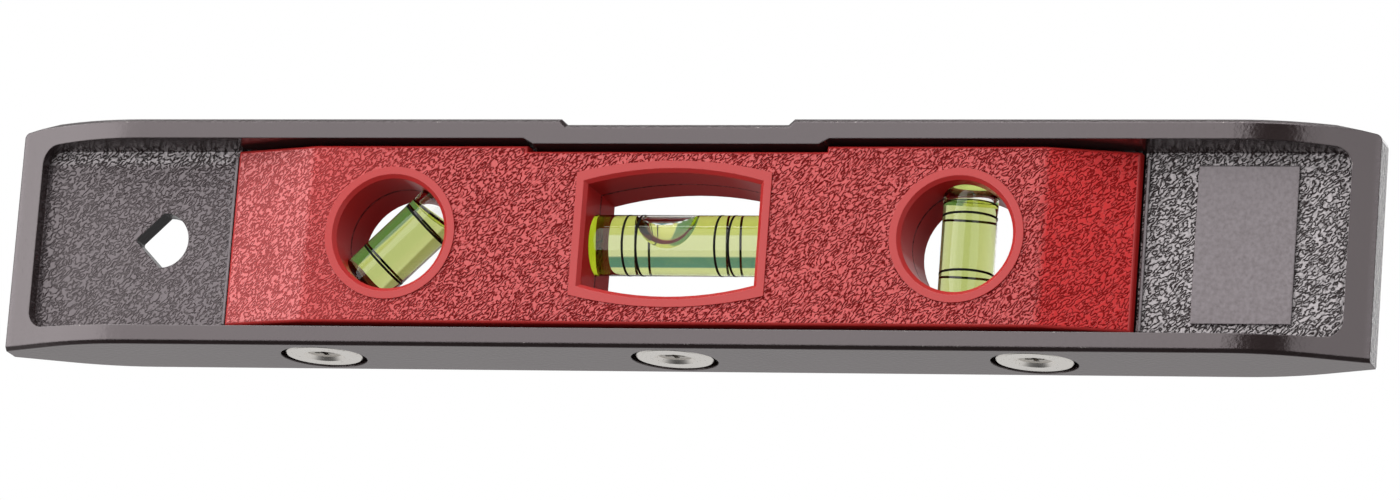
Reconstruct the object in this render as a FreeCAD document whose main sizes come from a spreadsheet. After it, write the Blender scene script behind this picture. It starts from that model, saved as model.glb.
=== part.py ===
import FreeCAD, Part
import math
import os
import Sketcher
from FreeCAD import Placement, Rotation, Vector

# A pocket spirit level: a cast frame with a rim round a thin mid web, two moulded housing halves
# clamped on the web, three vials between them, and three ring magnets screwed into the base.
# X runs along the level, the front faces -Y and +Z is up. The origin is the middle of the base.

doc = FreeCAD.newDocument("pocket_level")

# Driving dimensions in millimetres and degrees: name, value, what it is
DIMENSIONS = [
    ("overall_length", 230.0, "frame, end to end"),
    ("overall_height", 38.1, "base to top face"),
    ("overall_thickness", 17.8, "rim, front to back"),
    ("end_thickness", 5.4, "blunt end of the tapered cheeks"),
    ("cheek_angle", 22.0, "cheeks, from the long axis"),
    ("cheek_blend", 38.0, "radius from flat side to cheek"),
    ("end_drop", 1.1, "how far the top falls at each end"),
    ("end_drop_run", 7.0, "length of that fall"),
    ("nose_radius", 1.0, "upper corner of each end"),
    ("edge_chamfer", 0.6, "long edges of base and top"),
    ("top_wall", 3.3, "rim above the side pocket"),
    ("bottom_wall", 3.1, "rim below the side pocket"),
    ("end_wall", 3.85, "rim at the ends of the side pocket"),
    ("web_thickness", 4.0, "mid web between the side pockets"),
    ("pocket_draft", 5.0, "draft of the side pocket's walls"),
    ("pocket_corner", 3.0, "corner radius of the side pocket"),
    ("grip_half", 19.7, "half length of the recess in the top"),
    ("grip_depth", 0.95, "its depth"),
    ("grip_slope_run", 1.0, "length of its slanted steps"),
    ("dip_margin", 4.4, "pocket's lowered ceiling, past each end of the grip recess"),
    ("dip_depth", 0.93, "how far it is lowered"),
    ("dip_run", 1.7, "length of its slanted steps"),
    ("hole_gap", 13.05, "hanging hole's middle, from the housing's end"),
    ("hole_radius", 4.65, "its round side"),
    ("hole_corner_radius", 0.5, "its pointed side"),
    ("pad_length", 16.4, "raised pad, half way between housing and rim"),
    ("pad_margin", 6.1, "pad, from base and top"),
    ("pad_height", 0.5, "pad above the web"),
    ("rib_width", 0.5, "fine rib beside each housing end"),
    ("rib_height", 0.4, "rib above the web"),
    ("rib_gap", 0.7, "rib to housing end"),
    ("housing_slope_run", 14.65, "length of each sloping end of the housing"),
    ("lip_margin", 2.83, "end of the flat face to a bore's lip"),
    ("housing_gap", 1.0, "rim's lip to the housing"),
    ("face_setback", 1.0, "housing's flat face below the rim"),
    ("housing_end_height", 2.2, "housing's ends above the web"),
    ("housing_bend", 6.0, "radius between flat face and sloping end"),
    ("housing_edge", 0.6, "rounding of the outer edges"),
    ("housing_wall", 1.8, "moulded wall"),
    ("step_margin", 1.2, "lowered top of the housing, past the lowered ceiling"),
    ("tunnel_wall", 1.6, "wall round the bores, window and vials"),
    ("tunnel_gap", 0.4, "web to the tunnels that pass through it"),
    ("seam_gap", 0.24, "parting line between the halves"),
    ("bore_offset", 47.75, "round bores, from the middle"),
    ("bore_margin", 9.8, "round bores to base and top"),
    ("bevel", 0.62, "bevel inside each lip"),
    ("lip_width", 1.25, "flat of each raised lip"),
    ("lip_height", 0.25, "lip above the flat face"),
    ("window_half", 14.6, "half width of the window"),
    ("window_margin", 8.72, "window's middle to base and top"),
    ("window_rise", 1.95, "arch of its top and bottom"),
    ("peg_offset", 30.0, "pegs, from the middle"),
    ("peg_half", 1.4, "half width of the rear half's square pegs"),
    ("peg_clearance", 0.1, "peg to socket"),
    ("peg_wall", 1.4, "wall of each socket's square boss"),
    ("peg_depth", 2.2, "peg into its socket, past the web"),
    ("vial_gap", 0.05, "vial to its cradle"),
    ("level_vial_length", 42.0, "middle vial"),
    ("level_vial_radius", 5.0, "its outside"),
    ("level_bore_radius", 4.05, "its liquid"),
    ("small_vial_margin", 6.55, "ends of the plumb vial to base and top"),
    ("small_vial_radius", 4.45, "their outside"),
    ("small_bore_radius", 3.6, "their liquid"),
    ("vial_angle", 45.0, "tilt of the angle vial"),
    ("vial_end_wall", 1.5, "closed end of each vial"),
    ("plug_length", 2.2, "plug in the other end"),
    ("level_bubble_length", 10.1, "bubble of the middle vial"),
    ("level_bubble_offset", 2.75, "bubble, towards -X"),
    ("bubble_depth", 4.3, "bubble, from the top of the bore"),
    ("bubble_end_depth", 0.2, "its blunt ends, from there"),
    ("bubble_width", 6.2, "bubble, across the vial"),
    ("small_air_length", 3.3, "air in the small vials, along their axis"),
    ("magnet_pitch", 60.0, "magnet to magnet"),
    ("magnet_radius", 6.35, "ring magnet"),
    ("magnet_thickness", 2.4, "ring magnet"),
    ("magnet_chamfer", 0.25, "its outer edge"),
    ("magnet_recess", 0.1, "its face above the base"),
    ("magnet_seat_gap", 0.8, "magnet to the wall of its seat"),
    ("countersink_radius", 3.45, "mouth of its countersink"),
    ("magnet_hole_radius", 1.65, "its through hole"),
    ("screw_length", 6.0, "countersunk screw"),
    ("screw_head_radius", 2.85, "its head"),
    ("screw_radius", 1.45, "its shank"),
    ("screw_clearance", 0.05, "shank to the web"),
    ("recess_reach", 1.65, "cross recess, half length of an arm"),
    ("recess_half", 0.42, "half width of an arm"),
    ("recess_depth", 1.2, "cross recess"),
]

ALIASES = {name for name, number, note in DIMENSIONS}
sizes = doc.addObject("Spreadsheet::Sheet", "sizes")
for row, (name, number, note) in enumerate(DIMENSIONS, start=1):
    sizes.set(f"A{row}", note)
    sizes.set(f"B{row}", str(number))
    sizes.setAlias(f"B{row}", name)
doc.recompute()


def size(name):
    """The number that the sheet holds under this name."""
    return float(sizes.get(name))


def on_sheet(expression):
    """The expression with every name of the sheet made a reference to its cell."""
    words = []
    word = ""
    for letter in expression + " ":
        if letter.isalnum() or letter in "_.":
            word += letter
            continue
        words.append("sizes." + word if word in ALIASES else word)
        words.append(letter)
        word = ""
    return "".join(words).strip()


# Helpers for sketches

def origin_plane(body, role):
    """One of the body's own origin planes."""
    return [item for item in body.Origin.OriginFeatures if item.Role == role][0]


def new_sketch(body, name, role, lift="0", across="0", along="0", turn="0"):
    """A sketch on an origin plane, moved across and along it, turned in it and lifted off it."""
    sketch = body.newObject("Sketcher::SketchObject", name)
    sketch.AttachmentSupport = [(origin_plane(body, role), "")]
    sketch.MapMode = "FlatFace"
    sketch.AttachmentOffset = Placement(Vector(0, 0, 0), Rotation(Vector(0, 0, 1), 1))
    sketch.setExpression("AttachmentOffset.Base.x", on_sheet(across))
    sketch.setExpression("AttachmentOffset.Base.y", on_sheet(along))
    sketch.setExpression("AttachmentOffset.Base.z", on_sheet(lift))
    sketch.setExpression("AttachmentOffset.Rotation.Angle", on_sheet(turn))
    return sketch


def fix_point(sketch, geometry, end, across, along):
    """Hold one end of a line or arc, or a centre, at two distances from the sketch's origin."""
    for kind, expression in (("DistanceX", across), ("DistanceY", along)):
        start = sketch.getPoint(geometry, end)
        distance = start.x if kind == "DistanceX" else start.y
        index = sketch.addConstraint(Sketcher.Constraint(kind, -1, 1, geometry, end, distance))
        sketch.setExpression(f"Constraints[{index}]", on_sheet(expression))


def polygon(sketch, corners):
    """A closed outline of straight lines through corners that are pairs of expressions."""
    count = len(corners)
    first = sketch.GeometryCount
    turns = [2 * math.pi * (index + 0.5) / count for index in range(count)]
    guess = [Vector(10 * math.cos(turn), 10 * math.sin(turn), 0) for turn in turns]
    for index in range(count):
        sketch.addGeometry(Part.LineSegment(guess[index], guess[(index + 1) % count]))
    for index in range(count):
        joint = (first + index, 2, first + (index + 1) % count, 1)
        sketch.addConstraint(Sketcher.Constraint("Coincident", *joint))
    for index, (across, along) in enumerate(corners):
        fix_point(sketch, first + index, 1, across, along)


def rectangle(sketch, left, right, low, high):
    """A rectangle between four distances."""
    polygon(sketch, [(left, low), (right, low), (right, high), (left, high)])


def squares(sketch, half):
    """A square round each peg's place."""
    for place in PEG_PLACES:
        rectangle(sketch, f"{place} - {half}", f"{place} + {half}", f"-{half}", half)


def circle(sketch, across, along, radius):
    """A circle whose centre and radius are expressions."""
    index = sketch.addGeometry(Part.Circle(Vector(1, 1, 0), Vector(0, 0, 1), 2))
    fix_point(sketch, index, 3, across, along)
    rule = sketch.addConstraint(Sketcher.Constraint("Radius", index, 2))
    sketch.setExpression(f"Constraints[{rule}]", on_sheet(radius))


def arc_through(sketch, left, right, middle, height, bulge):
    """An arc between the ends of two lines, through a point on the sketch's upright axis."""
    half = 10
    rise = 3 * bulge
    arc = Part.Arc(Vector(-half, 0, 0), Vector(0, rise, 0), Vector(half, 0, 0))
    index = sketch.addGeometry(arc)
    start, end = (1, 2) if bulge < 0 else (2, 1)
    sketch.addConstraint(Sketcher.Constraint("Coincident", index, start, *left))
    sketch.addConstraint(Sketcher.Constraint("Coincident", index, end, *right))
    point = sketch.addGeometry(Part.Point(Vector(0, rise, 0)), True)
    fix_point(sketch, point, 1, middle, height)
    sketch.addConstraint(Sketcher.Constraint("PointOnObject", point, 1, index))
    return index


def barrel(sketch, half, end_half, middle_half, grow="0"):
    """The window's outline: upright sides, arched above and below, grown by one distance."""
    sides = []
    for sign in ("-", ""):
        x = f"{sign}({half} + {grow})"
        edge = Vector(-10 if sign else 10, 1, 0)
        line = sketch.addGeometry(Part.LineSegment(Vector(edge.x, -5, 0), Vector(edge.x, 5, 0)))
        fix_point(sketch, line, 1, x, f"-({end_half} + {grow})")
        fix_point(sketch, line, 2, x, f"{end_half} + {grow}")
        sides.append(line)
    left, right = sides
    arc_through(sketch, (left, 2), (right, 2), "0", f"{middle_half} + {grow}", 1)
    arc_through(sketch, (left, 1), (right, 1), "0", f"-({middle_half} + {grow})", -1)


# Helpers for features

def feature(body, kind, name, sketch, **settings):
    """A feature of the body made from a sketch; a text setting is an expression."""
    item = body.newObject(f"PartDesign::{kind}", name)
    item.Profile = sketch
    plain = ("Type", "SideType")
    for key, setting in settings.items():
        if isinstance(setting, str) and key not in plain:
            item.setExpression(key, on_sheet(setting))
        else:
            setattr(item, key, setting)
    body.Tip = item
    return item


def through(body, name, sketch):
    """A pocket that passes right through the body, both ways from the sketch."""
    return feature(body, "Pocket", name, sketch, Type="ThroughAll", SideType="Symmetric")


def edges(item, test):
    """Names of the edges whose two ends and middle all pass the test."""
    doc.recompute()
    found = []
    for number, edge in enumerate(item.Shape.Edges, start=1):
        middle = edge.valueAt((edge.FirstParameter + edge.LastParameter) / 2)
        points = [vertex.Point for vertex in edge.Vertexes] + [middle]
        if all(test(point) for point in points):
            found.append(f"Edge{number}")
    return found


def soften(body, kind, name, test, amount):
    """A fillet or chamfer on the edges of the body's tip that pass the test."""
    base = body.Tip
    names = edges(base, test)
    if not names:
        raise RuntimeError(f"{name} found no edges on {base.Name} {base.State}")
    item = body.newObject(f"PartDesign::{kind}", name)
    item.Base = (base, names)
    item.setExpression("Radius" if kind == "Fillet" else "Size", on_sheet(amount))
    body.Tip = item
    return item


def near(first, second, slack=0.01):
    """True where two distances are the same to within the slack."""
    return abs(first - second) < slack


# Distances that several pieces share
MID_HEIGHT = "overall_height / 2"
SIDE = "overall_thickness / 2"
WEB = "web_thickness / 2"
HOUSING_LOW = "(bottom_wall + housing_gap)"
HOUSING_HIGH = "(overall_height - top_wall - housing_gap)"
FACE = "(overall_thickness / 2 - face_setback)"
END_FACE = "(web_thickness / 2 + housing_end_height)"
BORE_RADIUS = f"({MID_HEIGHT} - bore_margin)"
WINDOW_MIDDLE = f"({MID_HEIGHT} - window_margin)"
WINDOW_SIDE = f"({WINDOW_MIDDLE} - window_rise)"
FLAT_HALF = f"(bore_offset + {BORE_RADIUS} + bevel + lip_width + lip_margin)"
HOUSING_HALF = f"({FLAT_HALF} + housing_slope_run)"
DIP_HALF = "(grip_half + dip_margin)"
STEP_HALF = f"({DIP_HALF} + step_margin)"
HOLE_OFFSET = f"({HOUSING_HALF} + hole_gap)"
SMALL_LENGTH = "(overall_height - 2 * small_vial_margin)"
SLOPE = f"(({FACE} - {END_FACE}) / housing_slope_run)"
CHEEK_RUN = "(overall_thickness - end_thickness) / 2 / tan(cheek_angle)"
PEG_PLACES = ("-peg_offset", "peg_offset")


# Frame

def frame_blank(body):
    """The outside of the casting, with tapered cheeks, falling ends and the recess in its top."""
    plan = new_sketch(body, "plan", "XY_Plane")
    shoulder = f"(overall_length / 2 - {CHEEK_RUN})"
    polygon(plan, [
        (f"-{shoulder}", f"-{SIDE}"),
        (shoulder, f"-{SIDE}"),
        ("overall_length / 2", "-end_thickness / 2"),
        ("overall_length / 2", "end_thickness / 2"),
        (shoulder, SIDE),
        (f"-{shoulder}", SIDE),
        ("-overall_length / 2", "end_thickness / 2"),
        ("-overall_length / 2", "-end_thickness / 2"),
    ])
    feature(body, "Pad", "blank", plan, Length="overall_height")
    half_side = size("overall_thickness") / 2
    run = (size("overall_thickness") - size("end_thickness")) / 2
    run /= math.tan(math.radians(size("cheek_angle")))
    corner = size("overall_length") / 2 - run
    soften(body, "Fillet", "cheek_blends",
           lambda p: near(abs(p.x), corner) and near(abs(p.y), half_side), "cheek_blend")

    ends = new_sketch(body, "end_profile", "XZ_Plane")
    for sign in ("-", ""):
        polygon(ends, [
            (f"{sign}(overall_length / 2 - end_drop_run)", "overall_height"),
            (f"{sign}overall_length / 2", "overall_height - end_drop"),
            (f"{sign}overall_length / 2", "overall_height"),
        ])
    through(body, "end_drops", ends)
    half_length = size("overall_length") / 2
    nose = size("overall_height") - size("end_drop")
    soften(body, "Fillet", "noses",
           lambda p: near(abs(p.x), half_length) and near(p.z, nose), "nose_radius")

    grip = new_sketch(body, "grip_profile", "XZ_Plane")
    polygon(grip, [
        ("-grip_half", "overall_height"),
        ("-(grip_half - grip_slope_run)", "overall_height - grip_depth"),
        ("grip_half - grip_slope_run", "overall_height - grip_depth"),
        ("grip_half", "overall_height"),
    ])
    through(body, "grip_recess", grip)
    top = size("overall_height") - max(size("grip_depth"), size("end_drop"))

    def long_edge(p):
        """On the front or back edge of the base or of the top."""
        outside = abs(p.y) > size("end_thickness") / 2 - 0.01
        return outside and (near(p.z, 0) or p.z > top - 0.01)

    soften(body, "Chamfer", "long_edges", lambda p: long_edge(p) and
           abs(p.x) < half_length - size("nose_radius") * 1.3, "edge_chamfer")


def side_pockets(body):
    """The drafted pocket in each side, which leaves the rim and the mid web."""
    left = "-(overall_length / 2 - end_wall)"
    right = "overall_length / 2 - end_wall"
    ceiling = "overall_height - top_wall"
    lowered = "overall_height - top_wall - dip_depth"
    pocket_sketch = new_sketch(body, "pocket_mouth", "XZ_Plane", lift=SIDE)
    polygon(pocket_sketch, [
        (left, "bottom_wall"),
        (right, "bottom_wall"),
        (right, ceiling),
        (f"{DIP_HALF} + dip_run", ceiling),
        (DIP_HALF, lowered),
        (f"-{DIP_HALF}", lowered),
        (f"-({DIP_HALF} + dip_run)", ceiling),
        (left, ceiling),
    ])
    front = feature(body, "Pocket", "front_pocket", pocket_sketch,
                    Length=f"{SIDE} - {WEB}", TaperAngle="-pocket_draft")
    doc.recompute()
    both = body.newObject("PartDesign::Mirrored", "rear_pocket")
    both.Originals = [front]
    both.MirrorPlane = (origin_plane(body, "XZ_Plane"), [""])
    body.Tip = both
    web = size("web_thickness") / 2
    reach = size("overall_length") / 2 - size("end_wall") - 2
    low = size("bottom_wall") + 2
    high = size("overall_height") - size("top_wall") - 2

    def corner_edge(p):
        """On one of the eight slanted corner edges of the two pockets."""
        beside = abs(p.x) > reach and abs(p.x) < size("overall_length") / 2 - 1
        inside = abs(p.y) > web - 0.01 and abs(p.y) < size("overall_thickness") / 2
        return beside and inside and (p.z < low or p.z > high) and p.z > 1

    base = body.Tip
    slanted = []
    doc.recompute()
    for number, edge in enumerate(base.Shape.Edges, start=1):
        ends = [vertex.Point for vertex in edge.Vertexes]
        spans = len(ends) == 2 and abs(abs(ends[0].y) - abs(ends[1].y)) > 1
        if spans and all(corner_edge(point) for point in ends):
            slanted.append(f"Edge{number}")
    corners = body.newObject("PartDesign::Fillet", "pocket_corners")
    corners.Base = (base, slanted)
    corners.setExpression("Radius", on_sheet("pocket_corner"))
    body.Tip = corners


def web_details(body):
    """The raised pad, the fine ribs beside the housing, the hanging hole and the openings."""
    pad = new_sketch(body, "pad_outline", "XZ_Plane",
                     across=f"({HOUSING_HALF} + overall_length / 2 - end_wall) / 2")
    rectangle(pad, "-pad_length / 2", "pad_length / 2",
              "pad_margin", "overall_height - pad_margin")
    feature(body, "Pad", "pads", pad, Length="web_thickness + 2 * pad_height",
            SideType="Symmetric")

    ribs = new_sketch(body, "rib_outline", "XZ_Plane")
    for sign in ("-", ""):
        rectangle(ribs, f"{sign}({HOUSING_HALF} + rib_gap)",
                  f"{sign}({HOUSING_HALF} + rib_gap + rib_width)",
                  f"{HOUSING_LOW} + rib_gap", f"{HOUSING_HIGH} - rib_gap")
    feature(body, "Pad", "ribs", ribs, Length="web_thickness + 2 * rib_height",
            SideType="Symmetric")

    hole = new_sketch(body, "hole_outline", "XZ_Plane", across=f"-{HOLE_OFFSET}", along=MID_HEIGHT)
    upper = hole.addGeometry(Part.LineSegment(Vector(-5, 0, 0), Vector(0, 5, 0)))
    lower = hole.addGeometry(Part.LineSegment(Vector(0, -5, 0), Vector(-5, 0, 0)))
    round_side = hole.addGeometry(Part.Arc(Vector(0, -5, 0), Vector(5, 0, 0), Vector(0, 5, 0)))
    hole.addConstraint(Sketcher.Constraint("Coincident", lower, 2, upper, 1))
    hole.addConstraint(Sketcher.Constraint("Coincident", round_side, 1, lower, 1))
    hole.addConstraint(Sketcher.Constraint("Coincident", round_side, 2, upper, 2))
    fix_point(hole, upper, 1, "-hole_radius", "0")
    fix_point(hole, upper, 2, "0", "hole_radius")
    fix_point(hole, lower, 1, "0", "-hole_radius")
    hole.addConstraint(Sketcher.Constraint("DistanceX", -1, 1, round_side, 3, 0))
    through(body, "hanging_hole", hole)
    doc.recompute()
    point = hole.Shape.BoundBox.XMin
    soften(body, "Fillet", "hole_point", lambda p: near(p.x, point), "hole_corner_radius")

    bores = new_sketch(body, "bore_openings", "XZ_Plane", along=MID_HEIGHT)
    clear = f"{BORE_RADIUS} + tunnel_wall + tunnel_gap"
    circle(bores, "-bore_offset", "0", clear)
    circle(bores, "bore_offset", "0", clear)
    through(body, "bores_in_web", bores)

    window = new_sketch(body, "window_opening", "XZ_Plane", along=MID_HEIGHT)
    barrel(window, "window_half", WINDOW_SIDE, WINDOW_MIDDLE,
           "(tunnel_wall + tunnel_gap)")
    through(body, "window_in_web", window)

    for name, half_length, radius, across, turn in VIAL_SLOTS:
        slot = new_sketch(body, name + "_slot", "XZ_Plane", across=across, along=MID_HEIGHT,
                          turn=turn)
        reach = f"({half_length} + tunnel_wall + tunnel_gap)"
        width = f"({radius} + tunnel_wall + tunnel_gap)"
        rectangle(slot, f"-{reach}", reach, f"-{width}", width)
        through(body, name + "_slot_in_web", slot)

    pegs = new_sketch(body, "peg_openings", "XZ_Plane", along=MID_HEIGHT)
    squares(pegs, "(peg_half + tunnel_gap)")
    through(body, "peg_holes", pegs)


VIAL_SLOTS = [
    ("level_vial", "level_vial_length / 2", "level_vial_radius", "0", "0"),
    ("plumb_vial", f"{SMALL_LENGTH} / 2", "small_vial_radius", "bore_offset", "90"),
    ("angle_vial", f"{SMALL_LENGTH} / 2", "small_vial_radius", "-bore_offset", "vial_angle"),
]


def magnet_seats(body):
    """The three flat-bottomed seats in the base and the screw holes above them."""
    seats = new_sketch(body, "seat_outline", "XY_Plane")
    holes = new_sketch(body, "screw_hole_outline", "XY_Plane")
    for place in ("-magnet_pitch", "0", "magnet_pitch"):
        circle(seats, place, "0", "magnet_radius + magnet_seat_gap")
        circle(holes, place, "0", "screw_radius + screw_clearance")
    feature(body, "Pocket", "magnet_seats", seats, Reversed=True,
            Length="magnet_thickness + magnet_recess")
    feature(body, "Pocket", "screw_holes", holes, Reversed=True,
            Length=f"{SCREW_FACE} + screw_length + 2 * screw_clearance")


SCREW_FACE = "(magnet_recess + countersink_radius - screw_head_radius)"


def make_frame():
    """The cast frame."""
    body = doc.addObject("PartDesign::Body", "frame")
    frame_blank(body)
    side_pockets(body)
    web_details(body)
    magnet_seats(body)
    return body


# Housing

def housing_skin(body):
    """The outer block of one half: flat face, sloping ends, lowered top, rounded edges."""
    plan = new_sketch(body, "plan", "XY_Plane", lift=HOUSING_LOW)
    polygon(plan, [
        (f"-{HOUSING_HALF}", f"-{WEB}"),
        (f"-{HOUSING_HALF}", f"-{END_FACE}"),
        (f"-{FLAT_HALF}", f"-{FACE}"),
        (FLAT_HALF, f"-{FACE}"),
        (HOUSING_HALF, f"-{END_FACE}"),
        (HOUSING_HALF, f"-{WEB}"),
    ])
    feature(body, "Pad", "block", plan, Length=f"{HOUSING_HIGH} - {HOUSING_LOW}")
    face = size("overall_thickness") / 2 - size("face_setback")
    doc.recompute()
    run = plan.Shape.BoundBox.XMax - size("housing_slope_run")
    soften(body, "Fillet", "bends",
           lambda p: near(abs(p.x), run) and near(p.y, -face), "housing_bend")

    step = new_sketch(body, "step_outline", "XZ_Plane")
    rectangle(step, f"-{STEP_HALF}", STEP_HALF, f"{HOUSING_HIGH} - dip_depth", HOUSING_HIGH)
    through(body, "lowered_top", step)
    web = size("web_thickness") / 2
    doc.recompute()
    side = step.Shape.BoundBox.XMax
    soften(body, "Fillet", "outer_edges", lambda p: p.y < -web - 0.5 and not
           (near(abs(p.x), side) and p.y > -face + 0.01), "housing_edge")


def housing_lips(body):
    """Raised lips round the bores and the window."""
    rings = new_sketch(body, "bore_lips", "XZ_Plane", lift=FACE, along=MID_HEIGHT)
    outer = f"{BORE_RADIUS} + bevel + lip_width"
    circle(rings, "-bore_offset", "0", outer)
    circle(rings, "bore_offset", "0", outer)
    feature(body, "Pad", "bore_lip_pads", rings, Length="lip_height")
    border = new_sketch(body, "window_lip", "XZ_Plane", lift=FACE, along=MID_HEIGHT)
    barrel(border, "window_half", WINDOW_SIDE, WINDOW_MIDDLE, "(bevel + lip_width)")
    feature(body, "Pad", "window_lip_pad", border, Length="lip_height")


def housing_inside(body):
    """The hollow of the half, then the tunnels and vial cradles that reach the parting line."""
    hollow = new_sketch(body, "hollow_plan", "XY_Plane", lift=f"{HOUSING_LOW} + housing_wall")
    end_y = f"({END_FACE} - housing_wall + housing_wall * {SLOPE})"
    polygon(hollow, [
        (f"-({HOUSING_HALF} - housing_wall)", f"-{WEB}"),
        (f"-({HOUSING_HALF} - housing_wall)", f"-{end_y}"),
        (f"-{FLAT_HALF}", f"-({FACE} - housing_wall)"),
        (FLAT_HALF, f"-({FACE} - housing_wall)"),
        (f"{HOUSING_HALF} - housing_wall", f"-{end_y}"),
        (f"{HOUSING_HALF} - housing_wall", f"-{WEB}"),
    ])
    feature(body, "Pocket", "hollow", hollow, Reversed=True,
            Length=f"{HOUSING_HIGH} - {HOUSING_LOW} - dip_depth - 2 * housing_wall")

    seam = "seam_gap / 2"
    depth = f"{FACE} - {seam} - housing_wall / 2"
    tunnels = new_sketch(body, "bore_tunnels", "XZ_Plane", lift=seam, along=MID_HEIGHT)
    circle(tunnels, "-bore_offset", "0", f"{BORE_RADIUS} + tunnel_wall")
    circle(tunnels, "bore_offset", "0", f"{BORE_RADIUS} + tunnel_wall")
    feature(body, "Pad", "bore_tunnel_pads", tunnels, Length=depth)
    window = new_sketch(body, "window_tunnel", "XZ_Plane", lift=seam, along=MID_HEIGHT)
    barrel(window, "window_half", WINDOW_SIDE, WINDOW_MIDDLE, "tunnel_wall")
    feature(body, "Pad", "window_tunnel_pad", window, Length=depth)
    for name, half_length, radius, across, turn in VIAL_SLOTS:
        cradle = new_sketch(body, name + "_cradle", "XZ_Plane", lift=seam, across=across,
                            along=MID_HEIGHT, turn=turn)
        reach = f"({half_length} + tunnel_wall)"
        width = f"({radius} + tunnel_wall)"
        rectangle(cradle, f"-{reach}", reach, f"-{width}", width)
        feature(body, "Pad", name + "_cradle_pad", cradle, Length=depth)

    bosses = new_sketch(body, "boss_outline", "XZ_Plane", lift=WEB, along=MID_HEIGHT)
    squares(bosses, "(peg_half + peg_wall)")
    feature(body, "Pad", "bosses", bosses, Length=f"{FACE} - {WEB} - housing_wall / 2")


def housing_openings(body):
    """The bores, the window with their bevels, and the channels that hold the vials."""
    bores = new_sketch(body, "bores", "XZ_Plane", along=MID_HEIGHT)
    circle(bores, "-bore_offset", "0", BORE_RADIUS)
    circle(bores, "bore_offset", "0", BORE_RADIUS)
    through(body, "bore_pockets", bores)
    window = new_sketch(body, "window", "XZ_Plane", along=MID_HEIGHT)
    barrel(window, "window_half", WINDOW_SIDE, WINDOW_MIDDLE)
    through(body, "window_pocket", window)
    outside = size("overall_thickness") / 2 - size("face_setback") + size("lip_height")
    middle = size("overall_height") / 2
    bore_radius = middle - size("bore_margin")
    window_reach = middle - size("window_margin")

    def inner_rim(p):
        """On the inner edge of a bore's or the window's lip."""
        if not near(p.y, -outside):
            return False
        from_bore = math.hypot(abs(p.x) - size("bore_offset"), p.z - middle)
        in_window = abs(p.x) < size("window_half") + 0.05
        low = abs(p.z - middle) < window_reach + 0.05
        return near(from_bore, bore_radius) or (in_window and low)

    soften(body, "Chamfer", "bevels", inner_rim, "bevel")
    for name, half_length, radius, across, turn in VIAL_SLOTS:
        channel = new_sketch(body, name + "_channel", "XZ_Plane", across=across,
                             along=MID_HEIGHT, turn=turn)
        rectangle(channel, f"-({half_length} + vial_gap)", f"{half_length} + vial_gap",
                  "0", f"{radius} + vial_gap")
        groove = feature(body, "Groove", name + "_channel_groove", channel, Angle=360)
        groove.ReferenceAxis = (channel, ["H_Axis"])


def make_housing():
    """One half, its mirror image, and the pegs and sockets that join the two."""
    half = doc.addObject("PartDesign::Body", "housing_half")
    housing_skin(half)
    housing_lips(half)
    housing_inside(half)
    housing_openings(half)
    doc.recompute()
    mirrored = doc.addObject("Part::Mirroring", "mirrored_half")
    mirrored.Source = half
    mirrored.Base = Vector(0, 0, 0)
    mirrored.Normal = Vector(0, 1, 0)
    sockets = peg_set("sockets", "(peg_half + peg_clearance)", "(peg_depth + peg_clearance)")
    pegs = peg_set("pegs", "peg_half", "peg_depth", start=f"{WEB} + housing_wall / 2")
    front = doc.addObject("Part::Cut", "front_housing")
    front.Base = half
    front.Tool = sockets
    rear = doc.addObject("Part::MultiFuse", "rear_housing")
    rear.Shapes = [mirrored] + pegs.Links
    return front, rear


def peg_set(name, half, depth, start=WEB):
    """Square bars at both pegs' places, from behind the web to their depth in the front half."""
    group = doc.addObject("Part::Compound", name)
    bars = []
    for number, place in enumerate(PEG_PLACES, start=1):
        bar = doc.addObject("Part::Box", f"{name}_{number}")
        bar.setExpression("Placement.Base.x", on_sheet(f"{place} - {half}"))
        bar.setExpression("Placement.Base.y", on_sheet(f"-({WEB} + {depth})"))
        bar.setExpression("Placement.Base.z", on_sheet(f"{MID_HEIGHT} - {half}"))
        bar.setExpression("Length", on_sheet(f"2 * {half}"))
        bar.setExpression("Width", on_sheet(f"{start} + {WEB} + {depth}"))
        bar.setExpression("Height", on_sheet(f"2 * {half}"))
        bars.append(bar)
    group.Links = bars
    return group


# Vials

def place_vial(body, across, turn):
    """Set a vial, made along its own X axis, at its place in the middle plane of the level."""
    body.Placement = Placement(Vector(0, 0, 0), Rotation(Vector(0, -1, 0), 1))
    body.setExpression("Placement.Base.x", on_sheet(across))
    body.setExpression("Placement.Base.z", on_sheet(MID_HEIGHT))
    body.setExpression("Placement.Rotation.Angle", on_sheet(turn))


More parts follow.
